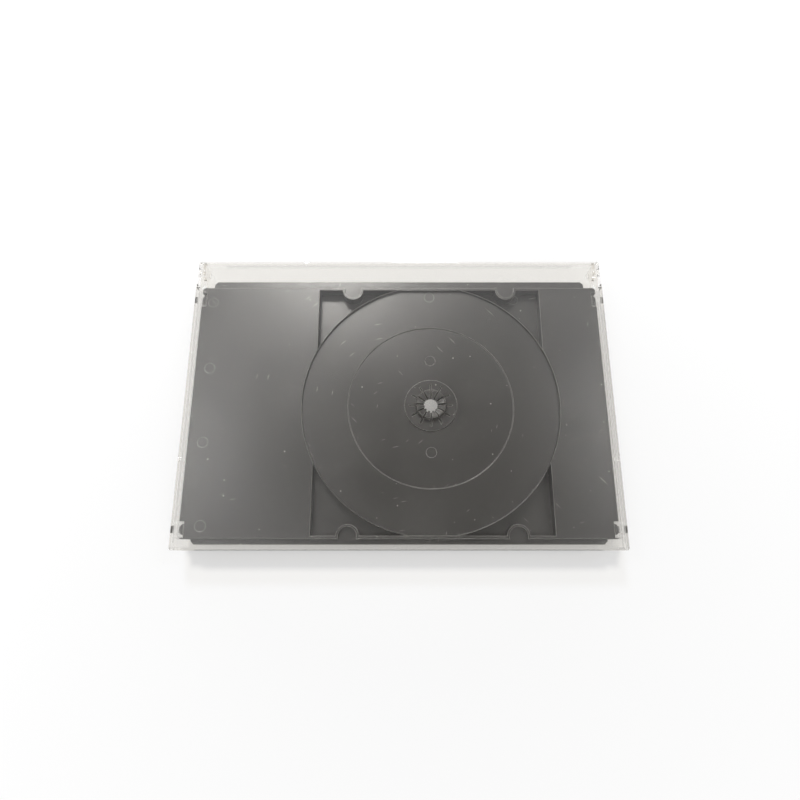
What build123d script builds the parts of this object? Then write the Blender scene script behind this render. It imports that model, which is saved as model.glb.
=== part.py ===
from build123d import *
import math
import os

# Tall disc case of three mouldings, closed and lying on its back.
# x runs along the spine, y towards the hinge, z up from the table.

# Case
case_length = 205.0
case_width = 142.5
case_height = 20.0
clear_corner = 1.2

# Lid
lid_panel = 1.3
lid_wall = 1.3
lid_edge = 0.3
side_clearance = 0.3

# Hinge
arm_length = 12.4
arm_inset = 0.5
arm_gap = 0.3
arm_overlap = 2.0
pin_setback = 3.3
pin_radius = 1.4
pin_clearance = 0.05
pin_reach = 0.2
swing_clearance = 0.3

# Base
base_floor = 1.3
base_wall = 1.3
rim_drop = 0.4
rim_gap = 0.3
front_gap = 0.3
tray_gap = 0.4

# Closing detents on the short sides
detent_y = -29.8
detent_radius = 0.9
detent_clearance = 0.3

# Tray
tray_clearance = 0.7
front_space = 3.65
hinge_space = 11.25
lid_space = 3.4
tray_wall = 1.1
tray_corner = 1.6
tray_edge = 0.35
seat_gap = 0.1

# Ledges along the long sides
ledge_drop = 2.0
hinge_ledge_reach = 4.1
front_ledge_reach = 2.4
ledge_inset = 5.3
ledge_bevel = 1.5

# Disc seat
hub_x = 15.4
hub_offset = 0.5
disc_radius = 62.6
disc_depth = 1.5
disc_draft = 12.0
small_disc_radius = 40.4
small_disc_depth = 0.5
small_disc_draft = 35.0

# Finger pockets beside the disc
pocket_half_length = 56.0
pocket_depth = 5.8
pocket_rim = 1.4

# Notches in the rim of the pockets
niche_spacing = 78.0
niche_width = 8.4
niche_depth = 5.6
niche_wall = 1.0

# Hub
hub_seat_radius = 13.0
hub_seat_rise = 0.8
hub_seat_draft = 20.0
hub_radius = 7.3
hub_bead = 0.25
hub_height = 2.7
hub_wall = 1.1
hub_hole = 3.2
hub_dish = 1.2
finger_count = 12
slot_width = 0.8
slot_radius = 10.6

# Snaps that hold the tray on the short sides
snap_front_inset = 4.3
snap_back_inset = 6.7
snap_length = 7.2
snap_depth = 2.4
snap_notch = 6.0
snap_tip_gap = 0.4
tongue_length = 5.0
tongue_depth = 1.8
tongue_inset = 0.2
nib_length = 3.0
nib_height = 0.8
nib_catch = 0.7
nib_clearance = 0.15
nib_drop = 4.0

# Marks of the ejector pins
pin_mark_radius = 2.5
pin_mark_depth = 0.15
hub_mark_offset = 23.0
disc_mark_offset = 57.2
pocket_mark_offset = 43.9
pocket_mark_gap = 2.8
side_mark_inset = 7.3
side_mark_spacing = 37.0
front_mark_inset = 9.7
front_mark_gap = 5.7
back_mark_inset = 6.1
back_mark_gap = 8.3

# Places worked out from the sizes above
half_length = case_length / 2
half_width = case_width / 2
lid_inside = case_height - lid_panel
tray_top = lid_inside - lid_space
rim_height = tray_top - rim_drop
lid_wall_bottom = rim_height + rim_gap
arm_outside = half_length - arm_inset
arm_inside = arm_outside - lid_wall
arm_front = half_width - arm_length
arm_end = pin_setback - arm_gap
pin_y = half_width - pin_setback
pin_z = case_height / 2
lug_outside = arm_inside - side_clearance
lug_inside = lug_outside - base_wall
swing_radius = lid_inside - pin_z - swing_clearance
spine_top = pin_z + math.sqrt(swing_radius**2 - pin_setback**2)
front_top = lid_inside - front_gap
front_half_length = half_length - lid_wall - side_clearance
rim_end = arm_front - side_clearance
tray_bottom = base_floor + seat_gap
tray_half_length = half_length - base_wall - tray_clearance
tray_front = base_wall + front_space - half_width
tray_back = half_width - base_wall - hinge_space
tray_y = (tray_front + tray_back) / 2
tray_half_width = (tray_back - tray_front) / 2
hub_y = tray_y + hub_offset
ledge_half_length = tray_half_length - ledge_inset
lug_front = tray_back + tray_gap
ledge_top = tray_top - ledge_drop
ledge_back = tray_back + hinge_ledge_reach
ledge_front = tray_front - front_ledge_reach
disc_floor = tray_top - disc_depth
small_disc_floor = disc_floor - small_disc_depth
pocket_floor = tray_top - pocket_depth
pocket_half_width = tray_half_width - pocket_rim
hub_seat = small_disc_floor + hub_seat_rise
hub_top = hub_seat + hub_height
niche_x = [hub_x - niche_spacing / 2, hub_x + niche_spacing / 2]
snap_front_y = tray_front + snap_front_inset
snap_back_y = tray_back - snap_back_inset
snap_root = tray_top - snap_notch
nib_bottom = tray_top - nib_drop
tongue_x = tray_half_length - tongue_inset - tongue_depth
nib_tip = half_length - base_wall + nib_catch
pin_marks = [
    (hub_x, hub_y + hub_mark_offset, small_disc_floor),
    (hub_x, hub_y - hub_mark_offset, small_disc_floor),
    (hub_x, hub_y + disc_mark_offset, disc_floor),
    (hub_x + pocket_mark_offset, tray_y + pocket_half_width - pocket_mark_gap, pocket_floor),
    (side_mark_inset - tray_half_length, hub_y + side_mark_spacing / 2, tray_top),
    (side_mark_inset - tray_half_length, hub_y - side_mark_spacing / 2, tray_top),
    (front_mark_inset - tray_half_length, tray_front + front_mark_gap, tray_top),
    (back_mark_inset - tray_half_length, tray_back - back_mark_gap, tray_top),
]


def ledge_outline(inset):
    """Outline of the tray with its two ledges, pulled in all round by inset."""
    half = ledge_half_length - inset
    back = ledge_back - inset
    front = ledge_front + inset
    bevel_half = half - ledge_bevel
    outline = [
        (-half, 0),
        (-half, back - ledge_bevel),
        (-bevel_half, back),
        (bevel_half, back),
        (half, back - ledge_bevel),
        (half, 0),
        (half, front + ledge_bevel),
        (bevel_half, front),
        (-bevel_half, front),
        (-half, front + ledge_bevel),
    ]
    return Polygon(*outline, align=None)


def niche_outline(grow):
    """U shaped notches on both long sides, grown by grow."""
    radius = niche_width / 2 + grow
    for x in niche_x:
        for side in (-1, 1):
            with Locations((x, tray_y + side * (tray_half_width - niche_depth + niche_width / 2))):
                Circle(radius)
            straight = niche_depth - niche_width / 2
            with Locations((x, tray_y + side * (tray_half_width - straight / 2))):
                Rectangle(2 * radius, straight)
    with Locations((0, tray_y)):
        Rectangle(case_length, 2 * tray_half_width, mode=Mode.INTERSECT)


with BuildPart() as lid:
    with BuildSketch(Plane.XY.offset(lid_inside)) as panel_outline:
        with Locations((0, -arm_length / 2)):
            Rectangle(case_length, case_width - arm_length)
        Rectangle(2 * arm_outside, case_width)
        fillet(panel_outline.vertices().group_by(Axis.Y)[0], radius=clear_corner)
    extrude(amount=lid_panel)

    # Wall of the short side
    with BuildSketch(Plane.YZ.offset(half_length - lid_wall)):
        with Locations((-half_width, lid_wall_bottom)):
            Rectangle(
                case_width - arm_length,
                lid_inside - lid_wall_bottom,
                align=(Align.MIN, Align.MIN),
            )
    extrude(amount=lid_wall)
    fillet(
        lid.edges().filter_by(Axis.Z).group_by(Axis.X)[-1].group_by(Axis.Y)[0],
        radius=clear_corner / 2,
    )

    # Nub under the wall, for the closing detent
    with BuildSketch(Plane.YZ.offset(half_length - lid_wall)):
        with Locations((detent_y, lid_wall_bottom)):
            Circle(detent_radius)
    extrude(amount=lid_wall)

    # Hinge arm with a rounded end
    with BuildSketch(Plane.YZ.offset(arm_inside)):
        with BuildLine():
            Polyline(
                (pin_y, pin_z - arm_end),
                (arm_front, lid_wall_bottom),
                (arm_front - arm_overlap, lid_wall_bottom),
                (arm_front - arm_overlap, lid_inside),
                (pin_y + arm_end, lid_inside),
                (pin_y + arm_end, pin_z),
            )
            CenterArc((pin_y, pin_z), arm_end, -90, 90)
        make_face()
    extrude(amount=lid_wall)

    # Stub pin on the arm
    with BuildSketch(Plane.YZ.offset(lug_inside - pin_reach)):
        with Locations((pin_y, pin_z)):
            Circle(pin_radius)
    extrude(amount=arm_inside + lid_wall / 2 - lug_inside + pin_reach)

    mirror(about=Plane.YZ)
    chamfer(lid.edges().group_by(Axis.Z)[-1], length=lid_edge)

with BuildPart() as base:
    with BuildSketch() as floor_outline:
        with Locations((0, (rim_end - half_width) / 2)):
            Rectangle(case_length, rim_end + half_width)
        Rectangle(2 * lug_outside, case_width)
        fillet(floor_outline.vertices().group_by(Axis.Y)[0], radius=clear_corner)
    extrude(amount=base_floor)

    # Front wall and spine wall
    with BuildSketch(Plane.XY.offset(base_floor)):
        with Locations((0, -half_width)):
            Rectangle(2 * front_half_length, base_wall, align=(Align.CENTER, Align.MIN))
    extrude(amount=front_top - base_floor)
    with BuildSketch(Plane.XY.offset(base_floor)):
        with Locations((0, half_width)):
            Rectangle(2 * lug_outside, base_wall, align=(Align.CENTER, Align.MAX))
    extrude(amount=spine_top - base_floor)

    # Rim round the front and the short sides
    with BuildSketch(Plane.XY.offset(base_floor)) as rim_outline:
        with Locations((0, (rim_end - half_width) / 2)):
            Rectangle(case_length, rim_end + half_width)
        fillet(rim_outline.vertices().group_by(Axis.Y)[0], radius=clear_corner)
        with Locations((0, rim_end)):
            Rectangle(
                case_length - 2 * base_wall,
                rim_end + half_width - base_wall,
                align=(Align.CENTER, Align.MAX),
                mode=Mode.SUBTRACT,
            )
        Rectangle(case_length, 2 * case_width, align=(Align.MIN, Align.CENTER), mode=Mode.INTERSECT)
    extrude(amount=rim_height - base_floor)

    # Notch in the rim for the detent nub, and windows for the nibs of the tray
    with BuildSketch(Plane.YZ.offset(half_length - base_wall)):
        with Locations((detent_y, lid_wall_bottom)):
            Circle(detent_radius + detent_clearance)
        for snap_y in (snap_front_y, snap_back_y):
            with Locations((snap_y, nib_bottom + nib_height / 2)):
                Rectangle(nib_length + 2 * nib_clearance, nib_height + 2 * nib_clearance)
    extrude(amount=base_wall, mode=Mode.SUBTRACT)

    # Lug with the hinge hole, its front corner cut away at the top
    with BuildSketch(Plane.YZ.offset(lug_inside)):
        with BuildLine():
            Polyline(
                (half_width, base_floor),
                (lug_front, base_floor),
                (lug_front, pin_z),
                (pin_y - arm_end, spine_top),
                (half_width, spine_top),
                close=True,
            )
        make_face()
        with Locations((pin_y, pin_z)):
            Circle(pin_radius + pin_clearance, mode=Mode.SUBTRACT)
    extrude(amount=base_wall)

    mirror(about=Plane.YZ)

# Space under the tray, which is one thin sheet that follows its upper face
with BuildPart() as hollow:
    with BuildSketch(Plane.XY.offset(base_floor)):
        with Locations((0, tray_y)):
            Rectangle(2 * (tray_half_length - tray_wall), 2 * (tray_half_width - tray_wall))
    extrude(amount=tray_top - tray_wall - base_floor)
    with BuildSketch(Plane.XY.offset(base_floor)):
        ledge_outline(tray_wall)
    extrude(amount=ledge_top - tray_wall - base_floor)
    with BuildSketch(Plane.XY.offset(disc_floor - tray_wall)):
        with Locations((hub_x, hub_y)):
            Circle(disc_radius + tray_wall)
    extrude(amount=tray_top, mode=Mode.SUBTRACT)
    with BuildSketch(Plane.XY.offset(small_disc_floor - tray_wall)):
        with Locations((hub_x, hub_y)):
            Circle(small_disc_radius + tray_wall)
    extrude(amount=tray_top, mode=Mode.SUBTRACT)
    with BuildSketch(Plane.XY.offset(pocket_floor - tray_wall)):
        with Locations((hub_x, tray_y)):
            Rectangle(2 * (pocket_half_length + tray_wall), 2 * (pocket_half_width + tray_wall))
        with Locations((hub_x, hub_y)):
            Circle(disc_radius - tray_wall, mode=Mode.SUBTRACT)
    extrude(amount=tray_top, mode=Mode.SUBTRACT)
    with BuildSketch(Plane.XY.offset(base_floor)):
        with Locations((hub_x, hub_y)):
            Circle(hub_seat_radius - tray_wall)
    extrude(amount=hub_seat - tray_wall - base_floor)
    with BuildSketch(Plane.XY.offset(base_floor)):
        niche_outline(0)
    extrude(amount=ledge_top - tray_wall - base_floor)

with BuildPart() as disc_tray:
    with BuildSketch(Plane.XY.offset(tray_bottom)):
        with Locations((0, tray_y)):
            RectangleRounded(2 * tray_half_length, 2 * tray_half_width, tray_corner)
    extrude(amount=tray_top - tray_bottom)
    chamfer(disc_tray.edges().group_by(Axis.Z)[-1], length=tray_edge)
    with BuildSketch(Plane.XY.offset(tray_bottom)):
        ledge_outline(0)
    extrude(amount=ledge_top - tray_bottom)

    # Finger pockets in the four corners round the disc
    with BuildSketch(Plane.XY.offset(tray_top)):
        with Locations((hub_x, tray_y)):
            Rectangle(2 * pocket_half_length, 2 * pocket_half_width)
        with Locations((hub_x, hub_y)):
            Circle(disc_radius, mode=Mode.SUBTRACT)
    extrude(amount=-pocket_depth, mode=Mode.SUBTRACT)

    # Notches in the rim, each with a thin wall on the side of the pocket
    with BuildSketch(Plane.XY.offset(pocket_floor)):
        niche_outline(niche_wall)
    extrude(amount=pocket_depth)
    with BuildSketch(Plane.XY.offset(tray_top)):
        niche_outline(0)
    extrude(amount=-ledge_drop, mode=Mode.SUBTRACT)

    # Seats of the large and the small disc
    with BuildSketch(Plane.XY.offset(tray_top)):
        with Locations((hub_x, hub_y)):
            Circle(disc_radius)
        with Locations((hub_x, tray_y)):
            Rectangle(case_length, 2 * pocket_half_width, mode=Mode.INTERSECT)
    extrude(amount=-disc_depth, taper=disc_draft, mode=Mode.SUBTRACT)
    with BuildSketch(Plane.XY.offset(disc_floor)):
        with Locations((hub_x, hub_y)):
            Circle(small_disc_radius)
    extrude(amount=-small_disc_depth, taper=small_disc_draft, mode=Mode.SUBTRACT)

    add(hollow.part, mode=Mode.SUBTRACT)

    # Raised seat round the hub
    with BuildSketch(Plane.XY.offset(small_disc_floor)):
        with Locations((hub_x, hub_y)):
            Circle(hub_seat_radius)
    extrude(amount=hub_seat_rise, taper=hub_seat_draft)
    with BuildSketch(Plane.XY.offset(base_floor)):
        with Locations((hub_x, hub_y)):
            Circle(hub_radius - hub_wall)
    extrude(amount=tray_top, mode=Mode.SUBTRACT)

    # Rosette of fingers: a thin dished ring that is slotted afterwards
    with BuildSketch(Plane.XZ.offset(-hub_y)):
        with BuildLine():
            Polyline(
                (hub_x + hub_radius, hub_seat - tray_wall),
                (hub_x + hub_radius, hub_top - 4 * hub_bead),
                (hub_x + hub_radius + hub_bead, hub_top - 3 * hub_bead),
                (hub_x + hub_radius, hub_top - hub_bead),
                (hub_x + hub_radius - hub_bead, hub_top),
                (hub_x + hub_radius - hub_wall, hub_top),
                (hub_x + hub_hole, hub_top - hub_dish),
                (hub_x + hub_hole, hub_top - hub_dish - hub_wall),
                (hub_x + hub_radius - hub_wall, hub_top - hub_wall),
                (hub_x + hub_radius - hub_wall, hub_seat - tray_wall),
                close=True,
            )
        make_face()
    revolve(axis=Axis((hub_x, hub_y, 0), (0, 0, 1)))
    with BuildSketch(Plane.XY.offset(base_floor)):
        with Locations((hub_x, hub_y)):
            with PolarLocations(slot_radius / 2, finger_count):
                Rectangle(slot_radius, slot_width)
    extrude(amount=hub_top, mode=Mode.SUBTRACT)

    # Snap tongues in notches of the short sides
    for side in (-1, 1):
        for snap_y in (snap_front_y, snap_back_y):
            with BuildSketch(Plane.XY.offset(snap_root)):
                with Locations((side * tray_half_length, snap_y)):
                    Rectangle(2 * snap_depth, snap_length)
            extrude(amount=tray_top, mode=Mode.SUBTRACT)
            with BuildSketch(Plane.XY.offset(snap_root - tongue_depth)):
                with Locations((side * tongue_x, snap_y)):
                    Ellipse(tongue_depth, tongue_length / 2)
                with Locations((side * (tongue_x + tongue_depth / 2), snap_y)):
                    Rectangle(tongue_depth, tongue_length, mode=Mode.INTERSECT)
            extrude(amount=snap_notch + tongue_depth - snap_tip_gap)
            with BuildSketch(Plane.XY.offset(nib_bottom)):
                with Locations((side * (tongue_x + nib_tip) / 2, snap_y)):
                    Rectangle(nib_tip - tongue_x, nib_length)
            extrude(amount=nib_height)

    # Shallow round marks of the ejector pins
    for x, y, height in pin_marks:
        with BuildSketch(Plane.XY.offset(height)):
            with Locations((x, y)):
                Circle(pin_mark_radius)
        extrude(amount=-pin_mark_depth, mode=Mode.SUBTRACT)

lid.part.label = "lid"
base.part.label = "base"
disc_tray.part.label = "disc_tray"

os.makedirs("parts", exist_ok=True)
export_step(lid.part, "parts/lid.step")
export_step(base.part, "parts/base.step")
export_step(disc_tray.part, "parts/disc_tray.step")
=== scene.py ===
import math

import bmesh
import bpy
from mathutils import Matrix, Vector


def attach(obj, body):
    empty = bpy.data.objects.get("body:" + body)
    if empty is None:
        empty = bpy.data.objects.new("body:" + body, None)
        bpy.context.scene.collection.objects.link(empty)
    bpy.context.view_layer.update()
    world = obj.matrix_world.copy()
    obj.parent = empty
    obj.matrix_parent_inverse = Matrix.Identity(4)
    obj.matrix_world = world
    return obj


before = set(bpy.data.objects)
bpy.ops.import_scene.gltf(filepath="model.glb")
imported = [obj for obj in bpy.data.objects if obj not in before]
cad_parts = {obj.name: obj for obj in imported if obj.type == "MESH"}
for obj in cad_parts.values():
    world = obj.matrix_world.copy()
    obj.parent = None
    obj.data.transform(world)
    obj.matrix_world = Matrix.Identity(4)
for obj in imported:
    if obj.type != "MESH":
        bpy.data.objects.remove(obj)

bl_info = {
    "name": "Clear disc case",
    "version": (1, 0, 0),
    "blender": (4, 5, 0),
    "location": "View3D > Sidebar > Disc Case",
    "description": "Finishes a clear disc case with a black tray, and sets its table, lamps and camera",
    "category": "Object",
}

MM = 0.001

# Camera: width of the picture in pixels and of the sensor in millimetres
PICTURE_SIZE = 800
SENSOR_WIDTH = 36.0

# Plastics
POLYSTYRENE_IOR = 1.59
TURNS_FOLLOWED = 4.0

# Dust and hairlines on the tray, wider than real ones, so that some show from where the camera stands.
# A stroke has the turn of its direction and its length in widths.
SPECK_WIDTH = 0.8 * MM
STROKE_WIDTH = 0.28 * MM
MARK_SOFTNESS = 0.06 * MM
STROKES = ((0.7, 18), (-0.8, 24), (1.4, 14), (0.2, 20))

# Studio: how far the case reaches from the floor's middle, where the grey overhead is centred, and the name,
# place and power of each lamp
CASE_REACH = 120 * MM
OVERHEAD_DIRECTION = (0.08, 0.12, 0.99)
SOFTBOXES = (
    ("front_softbox", (0.05, -0.35, 0.9), 1.2),
    ("left_softbox", (-0.58, 0.15, 0.93), 1.3),
    ("right_softbox", (0.58, 0.22, 0.93), 1.2),
    ("back_softbox", (-0.16, 0.66, 0.88), 6.6),
)


def linear(colour):
    """Linear red, green, blue and alpha of an sRGB hex colour such as #1C1C1D."""
    parts = [int(colour[i:i + 2], 16) / 255 for i in (1, 3, 5)]
    parts = [p / 12.92 if p <= 0.04045 else ((p + 0.055) / 1.055) ** 2.4 for p in parts]
    return (*parts, 1.0)


def node(tree, kind, inputs=None, **settings):
    """Adds a node, with its settings, and with each input set to a value or linked to a socket."""
    made = tree.nodes.new(kind)
    for name, value in settings.items():
        setattr(made, name, value)
    for name, value in (inputs or {}).items():
        if isinstance(value, bpy.types.NodeSocket):
            tree.links.new(value, made.inputs[name])
        else:
            made.inputs[name].default_value = value
    return made


def new_material(name):
    """An empty node material with its output."""
    material = bpy.data.materials.new(name)
    material.use_nodes = True
    material.node_tree.nodes.clear()
    return material, material.node_tree, material.node_tree.nodes.new("ShaderNodeOutputMaterial")


def give(name, material):
    """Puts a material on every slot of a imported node."""
    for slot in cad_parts[name].material_slots:
        slot.material = material


class CaseFinish(bpy.types.PropertyGroup):
    clear_tint: bpy.props.StringProperty(
        name="Clear tint",
        description="Colour that the clear plastic gives to what is seen through one of its faces",
        default="#F8F7F5",
    )
    tray_colour: bpy.props.StringProperty(
        name="Tray colour",
        description="Colour of the black tray",
        default="#2B2A29",
    )
    dust_colour: bpy.props.StringProperty(
        name="Dust colour",
        description="Colour of specks and scratches on the tray",
        default="#A9A7A2",
    )
    speck_spacing: bpy.props.FloatProperty(
        name="Speck spacing",
        description="Distance between neighbouring specks of dust",
        default=9 * MM,
        unit="LENGTH",
    )
    scratch_spacing: bpy.props.FloatProperty(
        name="Scratch spacing",
        description="Distance between neighbouring hairline scratches",
        default=4 * MM,
        unit="LENGTH",
    )
    scuff_size: bpy.props.FloatProperty(
        name="Scuff size",
        description="Width of the duller patches",
        default=20 * MM,
        unit="LENGTH",
    )
    # Painted highlight: a pale colour mixed into the tray along its outer edges, standing in for the light
    # that they catch.
    edge_highlight_colour: bpy.props.StringProperty(
        name="Edge colour",
        description="Colour of the tray's outer edges, which catch the light",
        default="#E6E4E0",
    )
    # Keeps the painted edge highlight out of inner corners.
    corner_reach: bpy.props.FloatProperty(
        name="Corner reach",
        description="How near two faces are that count as an inner corner",
        default=0.8 * MM,
        unit="LENGTH",
    )
    # Rounds the shading normal, and also sets the width of the painted edge highlight.
    edge_radius: bpy.props.FloatProperty(
        name="Edge radius",
        description="How far the tray's moulded edges are rounded, as the light sees them",
        default=0.2 * MM,
        unit="LENGTH",
    )


# Painted shade: a thin dark ring of the tray's plastic under the hub's slots, standing in for the shade
# beneath them.
class CaseShadeWeb(bpy.types.PropertyGroup):
    centre: bpy.props.FloatVectorProperty(
        name="Centre",
        description="Middle of the web's upper face, on the hub's axis",
        default=(15.4 * MM, -3.3 * MM, 13 * MM),
        unit="LENGTH",
    )
    inner_radius: bpy.props.FloatProperty(
        name="Inner radius",
        description="Radius of the web's hole, just past the tips of the fingers",
        default=3.4 * MM,
        unit="LENGTH",
    )
    outer_radius: bpy.props.FloatProperty(
        name="Outer radius",
        description="Radius of the web's rim, past the ends of the slots",
        default=11.4 * MM,
        unit="LENGTH",
    )
    thickness: bpy.props.FloatProperty(
        name="Thickness",
        description="Thickness of the web",
        default=0.5 * MM,
        unit="LENGTH",
    )


class CaseCamera(bpy.types.PropertyGroup):
    place: bpy.props.FloatVectorProperty(
        name="Place",
        description="Where the camera stands",
        default=(0.45 * MM, -70.4 * MM, 271.3 * MM),
        unit="LENGTH",
    )
    tilt: bpy.props.FloatProperty(
        name="Tilt",
        description="How far the camera is turned up from looking straight down",
        default=math.radians(15.2),
        subtype="ANGLE",
    )
    focal_pixels: bpy.props.FloatProperty(
        name="Focal length",
        description="Focal length in pixels of a picture 800 pixels wide",
        default=546.5,
    )


class CaseStudio(bpy.types.PropertyGroup):
    floor_size: bpy.props.FloatProperty(
        name="Floor size",
        description="Length of the floor's side",
        default=6.0,
        unit="LENGTH",
    )
    floor_colour: bpy.props.StringProperty(
        name="Floor colour",
        description="Colour of the floor",
        default="#CCCCCC",
    )
    floor_glow: bpy.props.FloatProperty(
        name="Floor glow",
        description="Strength of the light that comes up through the floor near the case",
        default=0.42,
    )
    far_glow: bpy.props.FloatProperty(
        name="Far glow",
        description="Strength of that light far from the case, where the lamps don't reach",
        default=1.0,
    )
    glow_reach: bpy.props.FloatProperty(
        name="Glow reach",
        description="Distance from the case at which the floor has its far glow",
        default=1.2,
        unit="LENGTH",
    )
    fill: bpy.props.FloatProperty(
        name="Fill",
        description="Strength of the even light from all round",
        default=0.3,
    )
    softbox_size: bpy.props.FloatProperty(
        name="Softbox size",
        description="Length of the side of each square softbox",
        default=0.16,
        unit="LENGTH",
    )
    overhead: bpy.props.StringProperty(
        name="Overhead colour",
        description="Colour of the studio straight above the table, as polished faces mirror it",
        default="#716F6C",
    )


def passed_by_light(tree, surface, tint):
    """Mixes a clear surface with a plain pass for the rays that carry light to what is behind it.

    Rays that have been turned many times inside it pass too, so that no corner goes black.
    """
    path = node(tree, "ShaderNodeLightPath")
    lit = node(tree, "ShaderNodeMath", {0: path.outputs["Is Shadow Ray"], 1: path.outputs["Is Diffuse Ray"]},
               operation="MAXIMUM")
    turned = node(tree, "ShaderNodeMath", {0: path.outputs["Ray Depth"], 1: TURNS_FOLLOWED},
                  operation="GREATER_THAN")
    lit = node(tree, "ShaderNodeMath", {0: lit.outputs[0], 1: turned.outputs[0]}, operation="MAXIMUM")
    passing = node(tree, "ShaderNodeBsdfTransparent", {"Color": tint})
    return node(tree, "ShaderNodeMixShader",
                {"Fac": lit.outputs[0], 1: surface.outputs["BSDF"], 2: passing.outputs["BSDF"]})


def clear_polystyrene(name, finish):
    """Injection-moulded crystal polystyrene: water clear and glossy, with a few faint scuffs.

    Its high index of 1.59 gives dark and bright lines along the edges and strong mirrors at a slant.
    """
    material, tree, out = new_material(name)
    place = node(tree, "ShaderNodeTexCoord")
    haze = node(tree, "ShaderNodeTexNoise",
                {"Vector": place.outputs["Object"], "Scale": 1 / finish.scuff_size, "Detail": 4.0})
    rough = node(tree, "ShaderNodeMapRange",
                 {"Value": haze.outputs["Fac"], "From Min": 0.55, "From Max": 0.8, "To Min": 0.0,
                  "To Max": 0.04})
    glass = node(tree, "ShaderNodeBsdfPrincipled",
                 {"Base Color": linear(finish.clear_tint), "Roughness": rough.outputs["Result"],
                  "IOR": POLYSTYRENE_IOR, "Transmission Weight": 1.0})
    mixed = passed_by_light(tree, glass, linear(finish.clear_tint))
    tree.links.new(mixed.outputs["Shader"], out.inputs["Surface"])
    return material


def spots(tree, place, spacing, width, turn=0.0, stretch=1.0):
    """Marks strewn over a level face, one to a cell, of up to the given width, as 0 to 1.

    A mark is a dot, or a stroke where it is stretched. Most are far smaller than the width.
    """
    laid = node(tree, "ShaderNodeMapping",
                {"Vector": place, "Rotation": (0, 0, turn), "Scale": (stretch, 1, 1)}, vector_type="TEXTURE")
    cells = node(tree, "ShaderNodeTexVoronoi", {"Vector": laid.outputs["Vector"], "Scale": 1 / spacing},
                 voronoi_dimensions="2D")
    chance = node(tree, "ShaderNodeSeparateColor", {"Color": cells.outputs["Color"]})
    reach = node(tree, "ShaderNodeMath", {0: chance.outputs["Red"], 1: 4.0}, operation="POWER")
    edge = node(tree, "ShaderNodeMath", {0: reach.outputs[0], 1: width / 2 / spacing}, operation="MULTIPLY")
    inside = node(tree, "ShaderNodeMath", {0: edge.outputs[0], 1: cells.outputs["Distance"]},
                  operation="SUBTRACT")
    mark = node(tree, "ShaderNodeMapRange",
                {"Value": inside.outputs[0], "From Min": 0.0, "From Max": MARK_SOFTNESS / spacing})
    return mark.outputs["Result"]


def black_polystyrene(name, finish):
    """High-impact polystyrene in black, injection-moulded: half glossy, with dust and hairline scratches.

    Its outer moulded edges have a painted highlight, a pale colour mixed in as thin lines for the light that
    they catch; its inner corners get none of it.
    """
    material, tree, out = new_material(name)
    place = node(tree, "ShaderNodeTexCoord")
    marks = spots(tree, place.outputs["Object"], finish.speck_spacing, SPECK_WIDTH)
    for turn, stretch in STROKES:
        strokes = spots(tree, place.outputs["Object"], finish.scratch_spacing, STROKE_WIDTH, turn, stretch)
        marks = node(tree, "ShaderNodeMath", {0: marks, 1: strokes}, operation="MAXIMUM").outputs[0]
    facing = node(tree, "ShaderNodeSeparateXYZ", {"Vector": place.outputs["Normal"]})
    level = node(tree, "ShaderNodeMath", {0: facing.outputs["Z"], 1: 0.9}, operation="GREATER_THAN")
    dusty = node(tree, "ShaderNodeMath", {0: marks, 1: level.outputs[0]}, operation="MULTIPLY")
    clouds = node(tree, "ShaderNodeTexNoise",
                  {"Vector": place.outputs["Object"], "Scale": 1 / finish.scuff_size, "Detail": 5.0})
    colour = node(tree, "ShaderNodeMix",
                  {"Factor": dusty.outputs[0], "A": linear(finish.tray_colour),
                   "B": linear(finish.dust_colour)},
                  data_type="RGBA")
    rough = node(tree, "ShaderNodeMapRange",
                 {"Value": clouds.outputs["Fac"], "From Min": 0.3, "From Max": 0.7, "To Min": 0.3,
                  "To Max": 0.38})
    # Painted highlight: where the rounded normal turns away from the true one at an outer edge, the colour is
    # mixed towards the pale edge highlight colour; the ambient occlusion keeps it out of inner corners.
    softened = node(tree, "ShaderNodeBevel", {"Radius": finish.edge_radius}, samples=8)
    shape = node(tree, "ShaderNodeNewGeometry")
    flat = node(tree, "ShaderNodeVectorMath",
                {0: softened.outputs["Normal"], 1: shape.outputs["Normal"]}, operation="DOT_PRODUCT")
    edge = node(tree, "ShaderNodeMapRange",
                {"Value": flat.outputs["Value"], "From Min": 0.995, "From Max": 0.92})
    corner = node(tree, "ShaderNodeAmbientOcclusion", {"Distance": finish.corner_reach}, samples=8,
                  only_local=True)
    outer = node(tree, "ShaderNodeMapRange",
                 {"Value": corner.outputs["AO"], "From Min": 0.55, "From Max": 0.9})
    painted_edge_highlight = node(tree, "ShaderNodeMath", {0: edge.outputs["Result"], 1: outer.outputs["Result"]},
                  operation="MULTIPLY")
    colour = node(tree, "ShaderNodeMix",
                  {"Factor": painted_edge_highlight.outputs[0], "A": colour.outputs["Result"],
                   "B": linear(finish.edge_highlight_colour)},
                  data_type="RGBA")
    plastic = node(tree, "ShaderNodeBsdfPrincipled",
                   {"Base Color": colour.outputs["Result"], "Roughness": rough.outputs["Result"],
                    "IOR": POLYSTYRENE_IOR, "Normal": softened.outputs["Normal"]})
    tree.links.new(plastic.outputs["BSDF"], out.inputs["Surface"])
    return material


class CASE_OT_clear_shell(bpy.types.Operator):
    """Gives the lid and the base their clear plastic"""

    bl_idname = "case.clear_shell"
    bl_label = "Clear Lid and Base"

    def execute(self, context):
        finish = context.scene.case_finish
        for name in ("lid", "base"):
            give(name, clear_polystyrene(f"clear_polystyrene_{name}", finish))
        return {"FINISHED"}


class CASE_OT_tray(bpy.types.Operator):
    """Gives the disc tray its black plastic"""

    bl_idname = "case.tray"
    bl_label = "Disc Tray"

    def execute(self, context):
        give("disc_tray", black_polystyrene("black_polystyrene", context.scene.case_finish))
        return {"FINISHED"}


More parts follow.
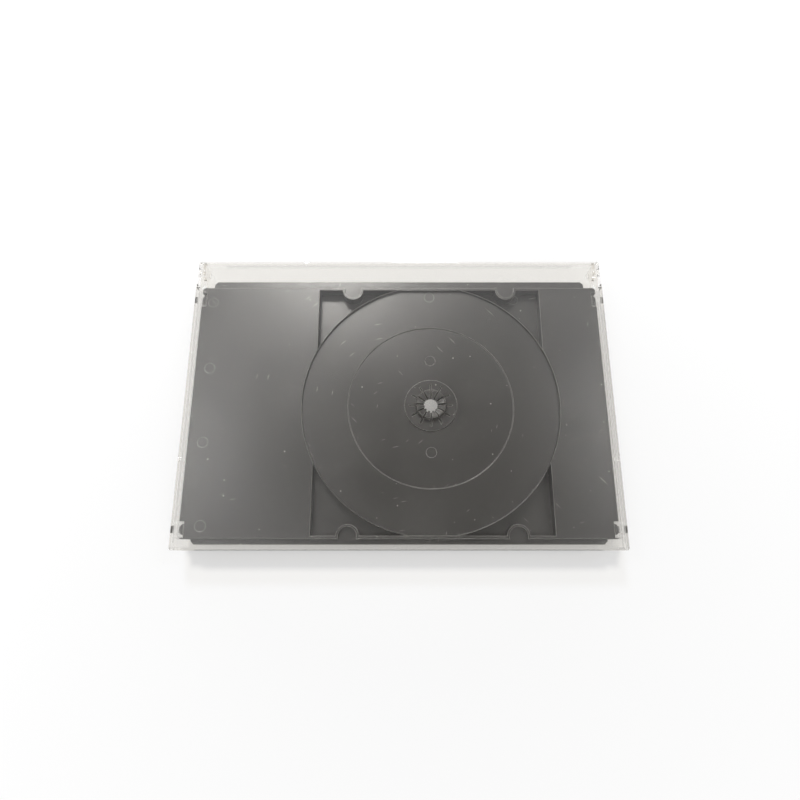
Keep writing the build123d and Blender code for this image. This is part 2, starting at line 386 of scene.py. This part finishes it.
class CASE_OT_slot_shade_web(bpy.types.Operator):
    """Makes a thin dark ring under the hub, behind the slots between its fingers, as painted shade that keeps
    the slots dark
    """

    bl_idname = "case.slot_web"
    bl_label = "Web Under the Slots"

    def execute(self, context):
        size = context.scene.case_web
        x, y, top = size.centre
        ring = bmesh.new()
        corners = [ring.verts.new((x + radius, y, height))
                   for radius, height in ((size.inner_radius, top), (size.outer_radius, top),
                                          (size.outer_radius, top - size.thickness),
                                          (size.inner_radius, top - size.thickness))]
        profile = [ring.edges.new((corners[i], corners[(i + 1) % 4])) for i in range(4)]
        bmesh.ops.spin(ring, geom=corners + profile, cent=(x, y, 0), axis=(0, 0, 1), angle=2 * math.pi,
                       steps=48, use_merge=True)
        bmesh.ops.recalc_face_normals(ring, faces=ring.faces)
        mesh = bpy.data.meshes.new("slot_web")
        ring.to_mesh(mesh)
        ring.free()
        web = bpy.data.objects.new("slot_web", mesh)
        mesh.materials.append(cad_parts["disc_tray"].material_slots[0].material)
        context.scene.collection.objects.link(web)
        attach(web, "case_base")
        return {"FINISHED"}


def seen_background(tree):
    """1 for the rays that see the background: straight, mirrored or through clear plastic."""
    path = node(tree, "ShaderNodeLightPath")
    mirrored = node(tree, "ShaderNodeMath",
                    {0: path.outputs["Is Camera Ray"], 1: path.outputs["Is Glossy Ray"]}, operation="MAXIMUM")
    return node(tree, "ShaderNodeMath", {0: mirrored.outputs[0], 1: path.outputs["Is Transmission Ray"]},
                operation="MAXIMUM")


def floor_material(studio):
    """Translucent light table: matt, and lit a little from below, which brightens the clear plastic on it.

    The lamps lift it to white near the case, and its own glow further out. The case's shadow stays on it.
    """
    material, tree, out = new_material("light_table")
    card = node(tree, "ShaderNodeBsdfDiffuse", {"Color": linear(studio.floor_colour)})
    seen = seen_background(tree)
    place = node(tree, "ShaderNodeTexCoord")
    away = node(tree, "ShaderNodeVectorMath", {0: place.outputs["Object"]}, operation="LENGTH")
    level = node(tree, "ShaderNodeMapRange",
                 {"Value": away.outputs["Value"], "From Min": CASE_REACH, "From Max": studio.glow_reach,
                  "To Min": studio.floor_glow, "To Max": studio.far_glow})
    lift = node(tree, "ShaderNodeMath", {0: seen.outputs[0], 1: level.outputs["Result"]},
                operation="MULTIPLY")
    glow = node(tree, "ShaderNodeEmission", {"Strength": lift.outputs[0]})
    both = node(tree, "ShaderNodeAddShader", {0: card.outputs["BSDF"], 1: glow.outputs["Emission"]})
    tree.links.new(both.outputs["Shader"], out.inputs["Surface"])
    return material


def studio_world(studio):
    """White all round, greyer overhead, with an even fill for what it lights."""
    world = bpy.data.worlds.new("studio")
    world.use_nodes = True
    tree = world.node_tree
    tree.nodes.clear()
    ray = node(tree, "ShaderNodeTexCoord")
    away = node(tree, "ShaderNodeVectorMath",
                {0: ray.outputs["Generated"], 1: OVERHEAD_DIRECTION}, operation="DISTANCE")
    edge = node(tree, "ShaderNodeMapRange",
                {"Value": away.outputs["Value"], "From Min": 0.08, "From Max": 0.52},
                interpolation_type="SMOOTHSTEP")
    sky = node(tree, "ShaderNodeMix",
               {"Factor": edge.outputs["Result"], "A": linear(studio.overhead), "B": (1, 1, 1, 1)},
               data_type="RGBA")
    seen = node(tree, "ShaderNodeBackground", {"Color": sky.outputs["Result"]})
    fill = node(tree, "ShaderNodeBackground", {"Strength": studio.fill})
    both = node(tree, "ShaderNodeMixShader",
                {"Fac": seen_background(tree).outputs[0], 1: fill.outputs[0], 2: seen.outputs[0]})
    out = node(tree, "ShaderNodeOutputWorld")
    tree.links.new(both.outputs["Shader"], out.inputs["Surface"])
    return world


def softbox(name, place, size, power, target):
    """A square lamp that faces the target."""
    lamp = bpy.data.lights.new(name, "AREA")
    lamp.size = size
    lamp.energy = power
    shown = bpy.data.objects.new(name, lamp)
    shown.location = place
    shown.rotation_euler = (Vector(target) - Vector(place)).to_track_quat("-Z", "Y").to_euler()
    bpy.context.collection.objects.link(shown)


class CASE_OT_stage(bpy.types.Operator):
    """Makes the table, the lamps, the studio round them and the camera"""

    bl_idname = "case.stage"
    bl_label = "Table, Lamps and Camera"

    def execute(self, context):
        scene = context.scene
        studio = scene.case_studio
        card = bmesh.new()
        bmesh.ops.create_grid(card, x_segments=1, y_segments=1, size=studio.floor_size / 2)
        mesh = bpy.data.meshes.new("table")
        card.to_mesh(mesh)
        card.free()
        table = bpy.data.objects.new("table", mesh)
        mesh.materials.append(floor_material(studio))
        scene.collection.objects.link(table)

        scene.world = studio_world(studio)
        for name, place, power in SOFTBOXES:
            softbox(name, place, studio.softbox_size, power, (0, 0, 0))

        eye = scene.case_camera
        lens = bpy.data.cameras.new("camera")
        lens.sensor_width = SENSOR_WIDTH
        lens.lens = eye.focal_pixels / PICTURE_SIZE * SENSOR_WIDTH
        lens.clip_start = 0.01
        camera = bpy.data.objects.new("camera", lens)
        camera.location = eye.place
        camera.rotation_euler = (eye.tilt, 0, 0)
        scene.collection.objects.link(camera)
        scene.camera = camera
        scene.view_settings.view_transform = "Standard"
        return {"FINISHED"}


class CASE_PT_panel(bpy.types.Panel):
    """Lists the steps that dress the case"""

    bl_idname = "CASE_PT_panel"
    bl_label = "Disc Case"
    bl_space_type = "VIEW_3D"
    bl_region_type = "UI"
    bl_category = "Disc Case"

    def draw(self, context):
        for step in STEPS:
            self.layout.operator(step.bl_idname)
        for group in (getattr(context.scene, name) for name in GROUPS):
            for name in group.bl_rna.properties.keys():
                if name not in ("rna_type", "name"):
                    self.layout.prop(group, name)


STEPS = (CASE_OT_clear_shell, CASE_OT_tray, CASE_OT_slot_shade_web, CASE_OT_stage)
GROUPS = {
    "case_finish": CaseFinish,
    "case_web": CaseShadeWeb,
    "case_camera": CaseCamera,
    "case_studio": CaseStudio,
}


def register():
    for group in GROUPS.values():
        bpy.utils.register_class(group)
    for step in STEPS:
        bpy.utils.register_class(step)
    bpy.utils.register_class(CASE_PT_panel)
    for name, group in GROUPS.items():
        setattr(bpy.types.Scene, name, bpy.props.PointerProperty(type=group))


def unregister():
    for name in GROUPS:
        delattr(bpy.types.Scene, name)
    bpy.utils.unregister_class(CASE_PT_panel)
    for step in reversed(STEPS):
        bpy.utils.unregister_class(step)
    for group in reversed(GROUPS.values()):
        bpy.utils.unregister_class(group)


def main():
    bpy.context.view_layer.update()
    register()
    bpy.ops.case.clear_shell()
    bpy.ops.case.tray()
    bpy.ops.case.slot_web()
    bpy.ops.case.stage()


if __name__ == "__main__":
    main()
